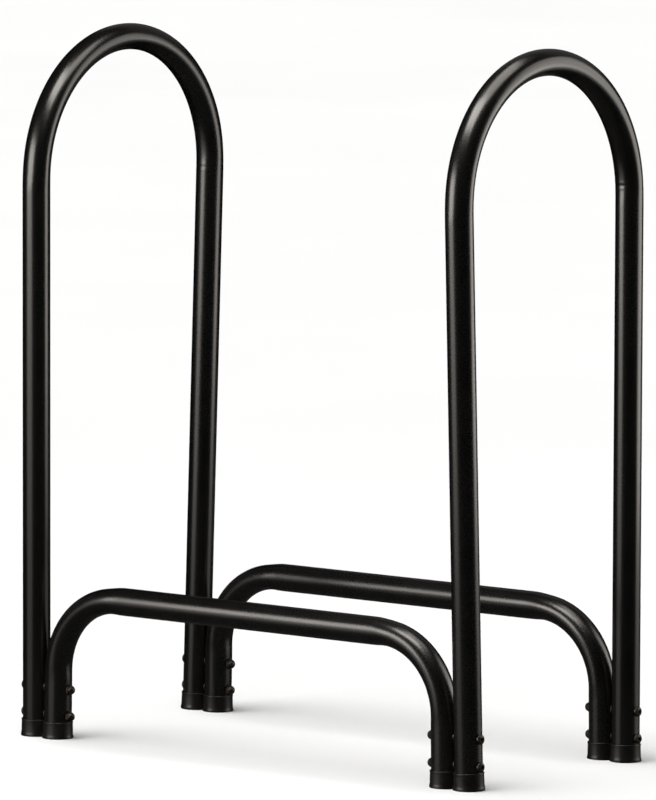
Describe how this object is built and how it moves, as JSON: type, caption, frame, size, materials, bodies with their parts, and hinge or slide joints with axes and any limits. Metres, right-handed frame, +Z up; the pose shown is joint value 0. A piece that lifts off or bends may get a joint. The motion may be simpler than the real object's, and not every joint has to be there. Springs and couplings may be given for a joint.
{
  "type": "firewood log rack",
  "caption": "Free-standing steel tube firewood rack: arched end hoops joined by low bent rails, bolted at the feet, with slip-on foot caps.",
  "frame": {"origin": "centre of the rack on the floor, midway between the end hoops and between the rails", "axes": "+X along the rails to the right-hand hoop, +Y to the rear, +Z up"},
  "size_m": [0.6104, 0.3068, 0.7369],
  "materials": {
    "black_powder_coat": "near-black satin powder coat over steel tube",
    "black_vinyl": "soft moulded vinyl foot cap, dull black",
    "black_fixings": "blackened steel bolt and cap nut, satin",
    "zinc_washer": "thin bright zinc-plated washer"
  },
  "bodies": {
    "root": {"front_rail": "black_powder_coat", "rear_rail": "black_powder_coat", "end_frame_left": "black_powder_coat", "bolt_front_left_lower": "black_fixings", "cap_nut_front_left_lower": "black_fixings", "washer_front_left_lower": "zinc_washer", "bolt_front_left_upper": "black_fixings", "cap_nut_front_left_upper": "black_fixings", "washer_front_left_upper": "zinc_washer", "foot_cap_front_left_frame": "black_vinyl", "foot_cap_front_left_rail": "black_vinyl", "bolt_rear_left_lower": "black_fixings", "cap_nut_rear_left_lower": "black_fixings", "washer_rear_left_lower": "zinc_washer", "bolt_rear_left_upper": "black_fixings", "cap_nut_rear_left_upper": "black_fixings", "washer_rear_left_upper": "zinc_washer", "foot_cap_rear_left_frame": "black_vinyl", "foot_cap_rear_left_rail": "black_vinyl", "end_frame_right": "black_powder_coat", "bolt_front_right_lower": "black_fixings", "cap_nut_front_right_lower": "black_fixings", "washer_front_right_lower": "zinc_washer", "bolt_front_right_upper": "black_fixings", "cap_nut_front_right_upper": "black_fixings", "washer_front_right_upper": "zinc_washer", "foot_cap_front_right_frame": "black_vinyl", "foot_cap_front_right_rail": "black_vinyl", "bolt_rear_right_lower": "black_fixings", "cap_nut_rear_right_lower": "black_fixings", "washer_rear_right_lower": "zinc_washer", "bolt_rear_right_upper": "black_fixings", "cap_nut_rear_right_upper": "black_fixings", "washer_rear_right_upper": "zinc_washer", "foot_cap_rear_right_frame": "black_vinyl", "foot_cap_rear_right_rail": "black_vinyl"}
  },
  "joints": []
}
